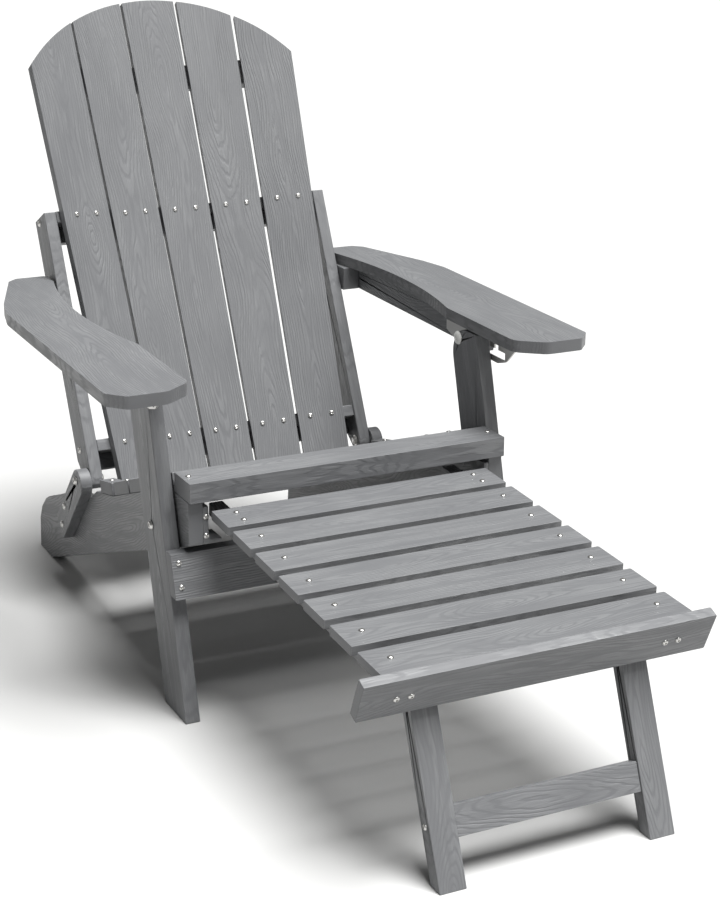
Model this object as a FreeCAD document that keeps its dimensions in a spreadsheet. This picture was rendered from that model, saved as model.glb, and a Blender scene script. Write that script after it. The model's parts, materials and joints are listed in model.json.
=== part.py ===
"""Folding adirondack chair with a sliding footrest, as separate boards and bolts.

Millimetres. X runs across the chair, with +X at the sitter's left. The front is -Y and the floor is z = 0.
The left and right pieces of a pair carry the ending _left (+X) or _right (-X).
"""
import FreeCAD, Part
import math
import os
import Sketcher

os.makedirs("parts", exist_ok=True)
doc = FreeCAD.newDocument("adirondack_chair")
V = FreeCAD.Vector

# ---------------------------------------------------------------- driving sizes
SIZES = (
    # across the chair
    ("inside_width", 452, "between the two seat rails"),
    ("rail_thick", 22, "seat rail"),
    ("leg_thick", 22, "front leg"),
    ("leg_gap", 3, "washer space between rail and leg"),
    ("bracket_thick", 19, "back bracket"),
    ("upright_thick", 20, "back upright"),
    ("upright_inset", 1, "upright face inside the rail's outer face"),
    # gaps between pieces that move
    ("run_gap", 0.3, "between faces that slide"),
    ("bore_gap", 0.1, "round a pivot bolt"),
    # seat rail, side view
    ("rail_front", -108.4, "front end of the rails"),
    ("rail_front_base", 251, "height of the rail's lower front corner"),
    ("rail_tilt", 20.3, "slope of the rail's lower edge"),
    ("rail_sole", 67.5, "length that rests on the floor"),
    ("rail_tail_depth", 105, "rail depth behind the seat"),
    ("rail_step_behind", 120, "step in the rail's top edge behind the hinge"),
    ("rail_notch_ahead", 16, "low place in the rail's top edge ahead of the hinge"),
    ("rail_rise_ahead", 44, "rail meets the rear slat ahead of the hinge"),
    ("hinge_clear", 8, "between the upright's foot and the rail"),
    ("tail_low_in", 6.7, "first corner of the rail's round end, inside its rear end"),
    ("tail_low_up", 55.4, "first corner above the floor"),
    ("tail_mid_in", 20.7, "second corner"),
    ("tail_mid_up", 80.2, "second corner above the floor"),
    ("tail_high_in", 47.2, "third corner"),
    ("tail_high_up", 102.5, "third corner above the floor"),
    ("tail_top_in", 64.7, "last corner, on the rail's top edge"),
    # seat
    ("seat_tilt", 20.03, "slope of the seat"),
    ("front_board_top", 344.5, "height of the front board's top"),
    ("front_board_thick", 29.5, "front board"),
    ("front_board_deep", 60, "front board, front to back"),
    ("front_board_lip", 8, "front board ahead of the rails"),
    ("slat_thick", 20, "seat slats"),
    ("slat_wide", 71.5, "seat slats, front to back"),
    ("slat_space", 6.5, "between seat slats"),
    ("seat_run", 279, "front board to the flatter rear slat, level"),
    ("rear_slat_wide", 58, "rear slat"),
    ("rear_slat_tilt", 12, "slope of the rear slat"),
    ("sweep_side_gap", 3, "rear slat's notch ends inside the uprights"),
    # front legs
    ("leg_bolt_behind", 81.4, "leg bolt behind the rail's front end"),
    ("leg_bolt_above", 39.6, "leg bolt above the rail's lower edge"),
    ("leg_lean", 14.6, "lean of the legs"),
    ("leg_wide", 80.4, "front leg"),
    ("leg_ahead", 46.1, "leg's front face ahead of its bolt"),
    ("leg_round", 40, "round on the leg's top rear corner"),
    ("leg_top_gap", 2.6, "below the arm"),
    ("pin_up", 208.7, "arm pin above the leg bolt, along the leg"),
    ("pin_back", 9.7, "arm pin behind the leg bolt, across the leg"),
    ("apron_tall", 62, "apron board"),
    ("apron_thick", 20.7, "apron board"),
    ("apron_gap", 0.9, "apron below the rails"),
    # back
    ("hinge_behind", 124, "back hinge behind the start of the rear slat"),
    ("hinge_below", 31.8, "back hinge below that point"),
    ("recline", 25.25, "back from upright"),
    ("back_fold", 84, "how far the back folds forward"),
    ("fold_clear", 30, "what the folded back needs in front of its hinge"),
    ("upright_ahead", 16.8, "upright ahead of the hinge"),
    ("upright_deep", 57.5, "upright, front to back"),
    ("upright_tall", 434.8, "upright above the hinge"),
    ("foot_front", 0.7, "share of the upright's front at which its foot is cut"),
    ("foot_back", 0.75, "share behind the hinge"),
    ("foot_low", 0.8, "share below the hinge"),
    ("foot_rise", 0.9, "share of its rear depth at which the foot ends"),
    ("back_radius", 715, "hollow of the back"),
    ("back_face", 0.7, "middle slat's face behind the hinge"),
    ("back_slat_thick", 13, "back slats"),
    ("back_slat_wide", 78, "back slat at the lower screws"),
    ("back_slat_space", 5.2, "between back slats"),
    ("back_flare", 0.5, "slant of each slat edge"),
    ("back_fan", 1, "lean from one slat to the next"),
    ("lower_row", 49.8, "lower screws above the hinge"),
    ("upper_row", 426.3, "upper screws above the hinge"),
    ("back_tail", 12, "slats below the hinge"),
    ("arch_radius", 290, "arched top"),
    ("arch_top", 789.2, "top of the back above the hinge"),
    ("crossbar_tall", 19, "crossbars"),
    ("crossbar_ahead", 15, "crossbar ends ahead of the hinge line"),
    ("stiffener_tall", 25, "stiffeners"),
    ("stiffener_deep", 20, "stiffeners"),
    ("batten_tall", 42, "top batten"),
    ("batten_thick", 15, "top batten"),
    ("batten_half", 195, "half of the top batten"),
    ("batten_up", 636, "top batten above the hinge"),
    # brackets
    ("bracket_slope", 45.6, "slope of the brackets"),
    ("bracket_wide", 44.9, "bracket"),
    ("bracket_shift", 5, "hinge off the bracket's middle line"),
    ("bracket_long", 152, "bracket below the hinge"),
    # arms
    ("arm_hinge_up", 296.4, "arm bolt above the back hinge"),
    ("arm_hinge_back", 12, "arm bolt behind the back hinge"),
    ("arm_tilt", 1.31, "slope of the arms"),
    ("arm_lift", 16.3, "arm's underside above its bolt"),
    ("arm_thick", 18, "arm board"),
    ("arm_wide", 123.5, "arm board at its widest"),
    ("arm_front", 644.3, "arm ahead of its bolt"),
    ("arm_behind", 29.7, "arm behind its bolt"),
    ("arm_waist", 175.3, "widest place ahead of the bolt"),
    ("scoop_long", 400, "hollow in the inner edge"),
    ("scoop_deep", 24, "hollow in the inner edge"),
    ("scoop_behind", 12.3, "hollow ends ahead of the bolt"),
    ("arm_heel_wide", 50, "arm's rear end"),
    ("arm_heel_cut", 16, "cut rear corner, across"),
    ("arm_heel_deep", 14, "cut rear corner, along"),
    ("arm_shoulder_in", 11.5, "arm's shoulder, across"),
    ("arm_shoulder_deep", 57, "arm's shoulder, along"),
    ("arm_taper", 3.5, "outer edge, from the widest place to the front"),
    ("arm_nose_cut", 23, "cut outer front corner, across"),
    ("arm_nose_deep", 25, "cut outer front corner, along"),
    ("arm_toe_cut", 40, "cut inner front corner, across"),
    ("arm_toe_deep", 30, "cut inner front corner, along"),
    ("arm_corner_round", 8, "rounds on the arm's small corners"),
    ("arm_shoulder_round", 60, "rounds on its shoulder"),
    ("arm_toe_round", 24, "rounds on its inner front corner"),
    ("arm_rail_thick", 20, "rail under the arm"),
    ("arm_rail_drop", 22, "rail below the arm bolt"),
    ("arm_rail_front", 478, "rail ahead of the arm bolt"),
    ("arm_rail_behind", 22, "rail behind the arm bolt"),
    ("arm_block_ahead", 48, "block ahead of the arm bolt"),
    ("plate_thick", 3, "latch plate"),
    ("plate_gap", 1, "latch plate outside the leg"),
    ("plate_behind", 80, "latch plate behind the arm pin"),
    ("plate_ahead", 55, "latch plate ahead of the last notch"),
    ("plate_tail_drop", 12, "rear end below the arm bolt"),
    ("plate_slope", 40, "rear slope of the lower edge"),
    ("plate_drop", 25.5, "lower edge below the arm bolt"),
    ("plate_nose_slope", 50, "front slope of the lower edge"),
    ("plate_nose_mid", 25, "bend in the front slope"),
    ("plate_nose_drop", 18, "bend below the arm bolt"),
    ("plate_nose_up", 6, "front end above the arm bolt"),
    ("plate_round", 20, "rounds on the front slope"),
    ("slot_ahead", 26, "slot ahead of the last notch"),
    ("slot_behind", 12, "slot behind the first notch"),
    ("slot_tall", 12, "slot"),
    ("slot_drop", 17, "slot's base below the arm bolt"),
    ("notch_rise", 7, "notches above the slot"),
    ("notch_pitch", 25.3, "between latch notches"),
    ("notch_wide", 11, "latch notches"),
    # footrest
    ("mouth_gap", 7.4, "first footrest slat ahead of the rails"),
    ("mouth_drop", 14.1, "first slat below the front board"),
    ("footrest_tilt", 3.4, "slope of the footrest"),
    ("step_wide", 61.4, "footrest slats"),
    ("step_space", 15.5, "between footrest slats"),
    ("step_thick", 13, "footrest slats"),
    ("step_inset", 9.3, "footrest slat ends inside the rails"),
    ("runner_thick", 21, "footrest side rails"),
    ("runner_deep", 20, "footrest side rails"),
    ("runner_inset", 29, "side rails inside the seat rails"),
    ("runner_tail", 60, "side rails behind the first slat"),
    ("end_board_long", 489.2, "end board"),
    ("end_board_tall", 58, "end board"),
    ("end_screw_rise", 0.46, "share of the end board's height at which its screws sit"),
    ("end_board_thick", 15, "end board"),
    ("prop_thick", 21.7, "footrest leg"),
    ("prop_wide", 36.4, "footrest leg, across the chair"),
    ("prop_inset", 59.8, "footrest legs inside the seat rails"),
    ("prop_lean", 21.3, "lean of the footrest legs"),
    ("prop_back", 48.9, "footrest leg bolt behind the end board"),
    ("prop_below", 24.4, "footrest leg bolt below the slats' top"),
    ("prop_bar_up", 71, "height of the footrest legs' crossbar"),
    ("prop_bar_tall", 38.5, "footrest legs' crossbar"),
    ("prop_bar_thick", 18, "footrest legs' crossbar"),
    ("guide_deep", 40, "footrest guides"),
    ("guide_wall", 8, "footrest guides beside the slats"),
    ("guide_ledge", 19, "footrest guides below the slats"),
    ("guide_base", 6, "footrest guides, thickness of the ledge"),
    ("guide_top_gap", 9, "footrest guides below the front board"),
    ("guide_screw_low", 12, "lower guide screw"),
    ("guide_screw_high", 40, "upper guide screw"),
    # bolts and screws
    ("bolt", 8, "pivot bolts"),
    ("bolt_head", 14, "pivot bolt heads and nuts"),
    ("bolt_head_tall", 4, "pivot bolt heads"),
    ("nut_tall", 5, "nuts"),
    ("washer", 24, "washers"),
    ("screw_head", 8.4, "screw heads"),
    ("screw_head_tall", 2.2, "screw heads"),
    ("small_bolt_head", 12, "bracket and upright bolt heads"),
    ("small_bolt_tall", 2.6, "bracket and upright bolt heads"),
    ("bore_past", 50, "bores run past the arm rails, so that they go right through"),
    ("arm_pin", 10, "pin between leg and latch plate"),
    ("pin_cap", 21, "cap on the arm pin"),
    ("pin_cap_tall", 4, "cap on the arm pin"),
)

sheet = doc.addObject("Spreadsheet::Sheet", "dims")
for row, (alias, value, note) in enumerate(SIZES, start=1):
    sheet.set("A%d" % row, note)
    sheet.set("B%d" % row, str(value))
    sheet.setAlias("B%d" % row, alias)
doc.recompute()

SIDES = (("left", 1), ("right", -1))

# ---------------------------------------------------------------- places worked out from the sizes
RAIL_IN = "(dims.inside_width / 2)"
RAIL_OUT = f"({RAIL_IN} + dims.rail_thick)"
LEG_IN = f"({RAIL_OUT} + dims.leg_gap)"
LEG_OUT = f"({LEG_IN} + dims.leg_thick)"
UPRIGHT_OUT = f"({RAIL_OUT} - dims.upright_inset)"
UPRIGHT_IN = f"({UPRIGHT_OUT} - dims.upright_thick)"
BRACKET_OUT = f"({RAIL_OUT} + dims.bracket_thick)"
PLATE_IN = f"({LEG_OUT} + dims.plate_gap)"
ARM_RAIL_IN = f"({PLATE_IN} + dims.plate_thick)"
ARM_RAIL_OUT = f"({ARM_RAIL_IN} + dims.arm_rail_thick)"
ARM_IN = f"({LEG_IN} - 1)"

RAIL_BASE_END = "(dims.rail_front + dims.rail_front_base / tan(dims.rail_tilt))"
FRONT_BOARD_BASE = "(dims.front_board_top - dims.front_board_thick)"
FRONT_BOARD_FRONT = "(dims.rail_front - dims.front_board_lip)"
FRONT_BOARD_BACK = f"({FRONT_BOARD_FRONT} + dims.front_board_deep)"


def seat_top(y):
    """Height of the seat's straight top line at y."""
    return f"(dims.front_board_top - ({y} - {FRONT_BOARD_BACK}) * tan(dims.seat_tilt))"


def rail_base(y):
    """Height of the rail's lower edge at y."""
    return f"(dims.rail_front_base - ({y} - dims.rail_front) * tan(dims.rail_tilt))"


KINK_Y = f"({FRONT_BOARD_BACK} + dims.seat_run)"
KINK_Z = seat_top(KINK_Y)
HINGE_Y = f"({KINK_Y} + dims.hinge_behind)"
HINGE_Z = f"({KINK_Z} - dims.hinge_below)"
SIN_BACK = "sin(dims.recline)"
COS_BACK = "cos(dims.recline)"
ARM_Y = f"({HINGE_Y} + dims.arm_hinge_up * {SIN_BACK} + dims.arm_hinge_back * {COS_BACK})"
ARM_Z = f"({HINGE_Z} + dims.arm_hinge_up * {COS_BACK} - dims.arm_hinge_back * {SIN_BACK})"
LEG_BOLT_Y = "(dims.rail_front + dims.leg_bolt_behind)"
LEG_BOLT_Z = f"({rail_base(LEG_BOLT_Y)} + dims.leg_bolt_above)"
LEG_TOP = f"({ARM_Z} + dims.arm_lift - ({ARM_Y} - {LEG_BOLT_Y}) * tan(dims.arm_tilt) - dims.leg_top_gap)"
PIN_Y = f"({LEG_BOLT_Y} + dims.pin_up * sin(dims.leg_lean) + dims.pin_back * cos(dims.leg_lean))"
PIN_Z = f"({LEG_BOLT_Z} + dims.pin_up * cos(dims.leg_lean) - dims.pin_back * sin(dims.leg_lean))"


def leg_front(z):
    """Y of the front legs' front face at height z."""
    lean = f"({z} - {LEG_BOLT_Z}) * tan(dims.leg_lean)"
    return f"({LEG_BOLT_Y} - dims.leg_ahead / cos(dims.leg_lean) + {lean})"


STEP_Y = "(dims.rail_front - dims.mouth_gap)"
STEP_Z = f"({FRONT_BOARD_BASE} - dims.mouth_drop)"
STEP_RUN = "(7 * dims.step_wide + 6 * dims.step_space)"
STEP_HALF = f"({RAIL_IN} - dims.step_inset)"
RUNNER_OUT = f"({RAIL_IN} - dims.runner_inset)"
RUNNER_IN = f"({RUNNER_OUT} - dims.runner_thick)"
PROP_OUT = f"({RAIL_IN} - dims.prop_inset)"
PROP_IN = f"({PROP_OUT} - dims.prop_wide)"
PROP_Y = f"(dims.prop_back - {STEP_RUN})"
PROP_FLOOR = (f"({STEP_Z} + {PROP_Y} * sin(dims.footrest_tilt)"
              " - dims.prop_below * cos(dims.footrest_tilt))")


def at(x, y, z, axis="1; 0; 0", angle="0"):
    """A placement expression: a point, then a turn about an axis."""
    return f"placement(vector({x}; {y}; {z}); rotation(vector({axis}); {angle}))"


BACK = at("0", HINGE_Y, HINGE_Z, angle="-dims.recline")
ARMS = at("0", ARM_Y, ARM_Z, angle="dims.arm_tilt")
FOOTREST = at("0", STEP_Y, STEP_Z, angle="dims.footrest_tilt")
PROPS = f"{FOOTREST} * {at('0', PROP_Y, '-dims.prop_below', angle='-dims.prop_lean - dims.footrest_tilt')}"
ACROSS = "0; 1; 0"

# ---------------------------------------------------------------- builders
made = []
count = 0


def part(kind, name=None):
    """A new Part object, with a running name when it is only a tool."""
    global count
    count += 1
    return doc.addObject("Part::" + kind, name or "tool_%d" % count)


def keep(item, label):
    """Marks an object as a sub-part and gives it the name of its file."""
    item.Label = label
    made.append(item)
    return item


def box(x, y, z, place, name=None):
    """A rectangular board."""
    item = part("Box", name)
    item.setExpression("Length", x)
    item.setExpression("Width", y)
    item.setExpression("Height", z)
    item.setExpression("Placement", place)
    return item


def rod(radius, length, place, name=None):
    """A cylinder along its own Z."""
    item = part("Cylinder", name)
    item.setExpression("Radius", radius)
    item.setExpression("Height", length)
    item.setExpression("Placement", place)
    return item


def join(items, name=None):
    """One solid from several that touch."""
    item = part("MultiFuse", name)
    item.Shapes = items
    item.Refine = True
    return item


def group(items, name):
    """Several separate solids under one name."""
    item = part("Compound", name)
    item.Links = items
    return item


def cut(base, tool, name=None):
    """The base without the tool."""
    item = part("Cut", name)
    item.Base = base
    item.Tool = tool
    return item


def own_plane(body, role):
    """One of the body's own origin planes."""
    return [f for f in body.Origin.OriginFeatures if f.Role == role][0]


def outline(body, role, corners, name):
    """A closed sketch whose corners are held by expressions."""
    sketch = body.newObject("Sketcher::SketchObject", name)
    sketch.AttachmentSupport = [(own_plane(body, role), "")]
    sketch.MapMode = "FlatFace"
    total = len(corners)
    turn = [2 * math.pi * (i + 0.3) / total for i in range(total)]
    start = [V(50 * math.cos(a), 50 * math.sin(a), 0) for a in turn]
    for i in range(total):
        sketch.addGeometry(Part.LineSegment(start[i], start[(i + 1) % total]), False)
    for i in range(total):
        sketch.addConstraint(Sketcher.Constraint("Coincident", i, 2, (i + 1) % total, 1))
    for i, (across, up) in enumerate(corners):
        for kind, text, value in (("DistanceX", across, start[i].x), ("DistanceY", up, start[i].y)):
            index = sketch.addConstraint(Sketcher.Constraint(kind, -1, 1, i, 1, value))
            sketch.setExpression("Constraints[%d]" % index, text)
    return sketch


def corner_edges(pad, sketch, corners):
    """Names of the pad's edges that stand on the given corners of its sketch."""
    spots = [sketch.Placement.multVec(sketch.Geometry[i].StartPoint) for i in corners]
    depth = sketch.Placement.Rotation.multVec(V(0, 0, 1))
    found = []
    for number, edge in enumerate(pad.Shape.Edges, start=1):
        ends = [v.Point for v in edge.Vertexes]
        flat = [end - depth * depth.dot(end) for end in ends]
        if len(ends) == 2 and any(all(f.isEqual(s, 0.01) for f in flat) for s in spots):
            found.append("Edge%d" % number)
    return found


def board(role, corners, thick, place, name, rounds=()):
    """A board cut to an outline and padded to its thickness, on the plane's positive side."""
    body = doc.addObject("PartDesign::Body", name)
    sketch = outline(body, role, corners, name + "_outline")
    pad = body.newObject("PartDesign::Pad", name + "_pad")
    pad.Profile = sketch
    pad.setExpression("Length", thick)
    pad.Reversed = role == "XZ_Plane"
    doc.recompute()
    for number, (picked, radius) in enumerate(rounds):
        rounded = body.Tip
        edges = corner_edges(rounded, sketch, picked)
        fillet = body.newObject("PartDesign::Fillet", "%s_round_%d" % (name, number))
        fillet.Base = (rounded, edges)
        fillet.setExpression("Radius", radius)
        body.Tip = fillet
        doc.recompute()
    body.setExpression("Placement", place)
    return body


def sideways(x, y, z):
    """A placement whose Z runs toward +X, for bolts and bores across the chair."""
    return at(x, y, z, ACROSS, "90")


def bore(y, z, frame="", radius="dims.bolt / 2 + dims.bore_gap"):
    """A long cylinder across the chair, by itself wide enough for a pivot bolt to turn in."""
    place = frame + sideways(f"-{ARM_RAIL_OUT} - dims.bore_past", y, z)
    return rod(radius, f"2 * {ARM_RAIL_OUT} + 2 * dims.bore_past", place)


def snug_bore(y, z, frame=""):
    """The same, at the bolt's own size."""
    return bore(y, z, frame, "dims.bolt / 2")


def cross_bolt(side, inner, outer, y, z, frame=""):
    """A bolt across one side: shank from inner to outer, a head outside and a nut inside."""
    low = f"({inner} - dims.nut_tall)"
    if side < 0:
        spans = ((f"-{outer} - dims.bolt_head_tall", "dims.bolt_head_tall", "dims.bolt_head / 2"),
                 (f"-{outer}", f"{outer} - {inner}", "dims.bolt / 2"),
                 (f"-{inner}", "dims.nut_tall", "dims.bolt_head / 2"))
    else:
        spans = ((f"{outer}", "dims.bolt_head_tall", "dims.bolt_head / 2"),
                 (f"{inner}", f"{outer} - {inner}", "dims.bolt / 2"),
                 (f"{low}", "dims.nut_tall", "dims.bolt_head / 2"))
    return join([rod(radius, length, frame + sideways(x, y, z)) for x, length, radius in spans])


def screw(place):
    """A low domed screw head standing on a face, along the placement's Z."""
    item = part("Cone")
    item.setExpression("Radius1", "dims.screw_head / 2")
    item.setExpression("Radius2", "dims.screw_head / 3")
    item.setExpression("Height", "dims.screw_head_tall")
    item.setExpression("Placement", place)
    return item


def small_bolt(side, face, y, z, frame=""):
    """A bolt head on an outer side face."""
    x = face if side > 0 else f"-{face} - dims.small_bolt_tall"
    return rod("dims.small_bolt_head / 2", "dims.small_bolt_tall", frame + sideways(x, y, z))


def on_side(side, inner, thick):
    """Lowest X of a piece between inner and inner + thick on one side of the chair."""
    return inner if side > 0 else f"-({inner} + {thick})"


# ---------------------------------------------------------------- seat
def seat_rail(side, name):
    """A long side rail: front end upright, sloping lower edge, sole on the floor at the back."""
    depth = "dims.rail_tail_depth / cos(dims.rail_tilt)"
    drop = "dims.slat_thick / cos(dims.seat_tilt)"
    under_rear = f"{KINK_Z} - {drop}"
    hinge_clear = "(dims.upright_ahead + dims.hinge_clear)"
    tail_y = f"{RAIL_BASE_END} + dims.rail_sole"
    top_y = f"({tail_y} - dims.tail_top_in)"
    step_y = f"({HINGE_Y} + dims.rail_step_behind)"
    rise = "(dims.hinge_behind - dims.rail_rise_ahead) * tan(dims.rear_slat_tilt)"
    corners = (
        ("dims.rail_front", "dims.rail_front_base"),
        (RAIL_BASE_END, "0"),
        (tail_y, "0"),
        (f"{tail_y} - dims.tail_low_in", "dims.tail_low_up"),
        (f"{tail_y} - dims.tail_mid_in", "dims.tail_mid_up"),
        (f"{tail_y} - dims.tail_high_in", "dims.tail_high_up"),
        (top_y, f"{rail_base(top_y)} + {depth}"),
        (step_y, f"{rail_base(step_y)} + {depth}"),
        (f"{HINGE_Y} - dims.rail_notch_ahead", f"{HINGE_Z} - {hinge_clear}"),
        (f"{HINGE_Y} - dims.rail_rise_ahead", f"{under_rear} - {rise}"),
        (KINK_Y, under_rear),
        (FRONT_BOARD_BACK, f"dims.front_board_top - {drop}"),
        (FRONT_BOARD_BACK, FRONT_BOARD_BASE),
        ("dims.rail_front", FRONT_BOARD_BASE),
    )
    place = at(on_side(side, RAIL_IN, "dims.rail_thick"), "0", "0")
    blank = board("YZ_Plane", corners, "dims.rail_thick", place, name + "_blank")
    return keep(cut(blank, snug_bore(LEG_BOLT_Y, LEG_BOLT_Z), name), name)


def seat_slats():
    """The straight part of the seat, from the rear slat forward; the front slat takes what is left."""
    length = f"2 * {RAIL_OUT}"
    tilt = "-dims.seat_tilt"
    run = "cos(dims.seat_tilt)"
    for number in range(4, 1, -1):
        back = f"(dims.slat_space + (dims.slat_wide + dims.slat_space) * {4 - number})"
        front_y = f"({KINK_Y} - ({back} + dims.slat_wide) * {run} - dims.slat_thick * sin(dims.seat_tilt))"
        front_z = f"({seat_top(front_y)} - dims.slat_thick / cos(dims.seat_tilt))"
        place = at(f"-{RAIL_OUT}", front_y, front_z, angle=tilt)
        name = "seat_slat_%d" % number
        keep(box(length, "dims.slat_wide", "dims.slat_thick", place, name), name)
    used = "(3 * dims.slat_wide + 4 * dims.slat_space)"
    lean = "dims.slat_thick * sin(dims.seat_tilt)"
    wide = f"(dims.seat_run / {run} - {used} - dims.slat_space - {lean} / 2 / {run})"
    front_y = f"({FRONT_BOARD_BACK} + dims.slat_space * {run} - {lean} / 2)"
    front_z = f"({seat_top(f'({front_y} + {lean})')} - dims.slat_thick * {run})"
    place = at(f"-{RAIL_OUT}", front_y, front_z, angle=tilt)
    keep(box(length, wide, "dims.slat_thick", place, "seat_slat_1"), "seat_slat_1")
    rear_z = f"({KINK_Z} - dims.slat_thick / cos(dims.seat_tilt))"
    place = at(f"-{RAIL_OUT}", KINK_Y, rear_z, angle="-dims.rear_slat_tilt")
    rear = box(length, "dims.rear_slat_wide", "dims.slat_thick", place, "rear_slat_blank")
    folded = at("0", HINGE_Y, HINGE_Z, angle="dims.back_fold - dims.recline")
    half = f"({UPRIGHT_IN} - dims.sweep_side_gap)"
    reach = "dims.upper_row"
    sweep = box(f"2 * {half}", reach, f"2 * {reach}",
                f"{folded} * {at(f'-{half}', '-dims.fold_clear', f'-{reach}')}")
    keep(cut(rear, sweep, "seat_slat_5"), "seat_slat_5")


def front_board():
    """The thick board across the front of the seat."""
    place = at(f"-{RAIL_OUT}", FRONT_BOARD_FRONT, FRONT_BOARD_BASE)
    size = (f"2 * {RAIL_OUT}", "dims.front_board_deep", "dims.front_board_thick")
    keep(box(*size, place, "front_board"), "front_board")


def bracket(side, name):
    """A board from the seat rail up to the back hinge, round at the top."""
    frame = at(on_side(side, RAIL_OUT, "dims.bracket_thick"), HINGE_Y, HINGE_Z,
               angle="-dims.bracket_slope") + " * "
    low = "(-dims.bracket_wide / 2 - dims.bracket_shift)"
    strip = box("dims.bracket_thick", "dims.bracket_long", "dims.bracket_wide", frame + at("0", "0", low))
    middle = frame + sideways("0", "0", "-dims.bracket_shift")
    cap = rod("dims.bracket_wide / 2", "dims.bracket_thick", middle)
    return keep(cut(join([strip, cap]), bore(HINGE_Y, HINGE_Z), name), name)


def footrest_guide(side, name):
    """A block inside the rail's front end: a wall beside the footrest slats and a ledge below them."""
    tall = f"{FRONT_BOARD_BASE} - dims.rail_front_base - dims.guide_top_gap"
    wall = box("dims.guide_wall", "dims.guide_deep", tall,
               at(on_side(side, f"({RAIL_IN} - dims.guide_wall)", "dims.guide_wall"),
                  "dims.rail_front", "dims.rail_front_base"))
    ledge_in = f"({RAIL_IN} - dims.guide_wall - dims.guide_ledge)"
    ledge = box("dims.guide_ledge", "dims.guide_deep", "dims.guide_base",
                at(on_side(side, ledge_in, "dims.guide_ledge"), "dims.rail_front", "dims.rail_front_base"))
    return keep(join([wall, ledge], name), name)


def seat_fasteners():
    """Screw heads on the front board, seat slats and guides, the leg bolts and the bracket bolts."""
    heads = []
    middle = "dims.rail_thick / 2"
    for _, side in SIDES:
        x = f"{side} * ({RAIL_IN} + {middle})"
        heads.append(screw(at(x, f"({FRONT_BOARD_FRONT} + dims.front_board_deep / 2 + 3)",
                              "dims.front_board_top")))
        for slat in ("seat_slat_2", "seat_slat_3", "seat_slat_4", "rear_slat_blank"):
            spot = at(f"{RAIL_OUT} + {x}", f"{slat}.Width / 2", f"{slat}.Height")
            heads.append(screw(f"{slat}.Placement * {spot}"))
        inner = f"{side} * ({RAIL_IN} - dims.guide_wall / 2)"
        for up in ("dims.guide_screw_low", "dims.guide_screw_high"):
            heads.append(screw(at(inner, "dims.rail_front", f"dims.rail_front_base + {up}", angle="90")))
    keep(group(heads, "seat_screws"), "seat_screws")
    bolts = []
    for _, side in SIDES:
        bolt = cross_bolt(side, RAIL_IN, f"({LEG_OUT} + dims.run_gap)", LEG_BOLT_Y, LEG_BOLT_Z)
        thick = "dims.leg_gap - dims.run_gap"
        ring = rod("dims.washer / 2", thick, sideways(on_side(side, RAIL_OUT, f"({thick})"),
                                                      LEG_BOLT_Y, LEG_BOLT_Z))
        bolts.append(join([bolt, ring]))
    keep(group(bolts, "leg_pivot_bolts"), "leg_pivot_bolts")
    frame = at("0", HINGE_Y, HINGE_Z, angle="-dims.bracket_slope") + " * "
    heads = []
    for _, side in SIDES:
        for along, across in (("0.63 * dims.bracket_long", "dims.bracket_wide / 10"),
                              ("0.88 * dims.bracket_long", "-dims.bracket_wide / 5")):
            heads.append(small_bolt(side, BRACKET_OUT, along, across, frame))
    keep(group(heads, "bracket_bolts"), "bracket_bolts")


# ---------------------------------------------------------------- front legs
def front_leg(side, name):
    """A leaning front leg, flat on the floor and rounded behind under the arm."""
    width = "dims.leg_wide / cos(dims.leg_lean)"
    corners = (
        (leg_front("0"), "0"),
        (f"{leg_front('0')} + {width}", "0"),
        (f"{leg_front(LEG_TOP)} + {width}", LEG_TOP),
        (leg_front(LEG_TOP), LEG_TOP),
    )
    place = at(on_side(side, LEG_IN, "dims.leg_thick"), "0", "0")
    blank = board("YZ_Plane", corners, "dims.leg_thick", place, name + "_blank", (((2,), "dims.leg_round"),))
    bolt = bore(LEG_BOLT_Y, LEG_BOLT_Z)
    bores = group([bolt, bore(PIN_Y, PIN_Z, radius="dims.arm_pin / 2")], name + "_bores")
    return keep(cut(blank, bores, name), name)


def apron():
    """The board across the front of the legs, whose top edge meets the rails' lower edges."""
    start = f"({leg_front('0')} - dims.rail_front)"
    slope = "tan(dims.rail_tilt)"
    top = (f"((dims.rail_front_base - {start} * {slope} - dims.apron_gap)"
           f" / (1 + tan(dims.leg_lean) * {slope}))")
    low = f"({top} - dims.apron_tall)"
    corners = (
        (leg_front(top), top),
        (leg_front(low), low),
        (f"{leg_front(low)} - dims.apron_thick", low),
        (f"{leg_front(top)} - dims.apron_thick", top),
    )
    keep(board("YZ_Plane", corners, f"2 * {LEG_OUT}", at(f"-{LEG_OUT}", "0", "0"), "apron"), "apron")
    heads = []
    for _, side in SIDES:
        for drop in ("dims.apron_tall / 5", "dims.apron_tall * 0.73"):
            z = f"({top} - {drop})"
            spot = at(f"{side} * ({LEG_OUT} - dims.leg_thick / 2)",
                      f"{leg_front(z)} - dims.apron_thick", z, angle="90 - dims.leg_lean")
            heads.append(screw(spot))
    keep(group(heads, "apron_screws"), "apron_screws")


def arm_pins():
    """The pins near the tops of the legs, with a round cap inside; each stops short of its latch plate."""
    pins = []
    for _, side in SIDES:
        reach = "(dims.leg_thick + dims.plate_gap / 2)"
        shank = rod("dims.arm_pin / 2", reach, sideways(on_side(side, LEG_IN, reach), PIN_Y, PIN_Z))
        cap_in = f"({LEG_IN} - dims.pin_cap_tall)"
        cap = rod("dims.pin_cap / 2", "dims.pin_cap_tall",
                  sideways(on_side(side, cap_in, "dims.pin_cap_tall"), PIN_Y, PIN_Z))
        pins.append(join([shank, cap]))
    keep(group(pins, "arm_pins"), "arm_pins")


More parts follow.
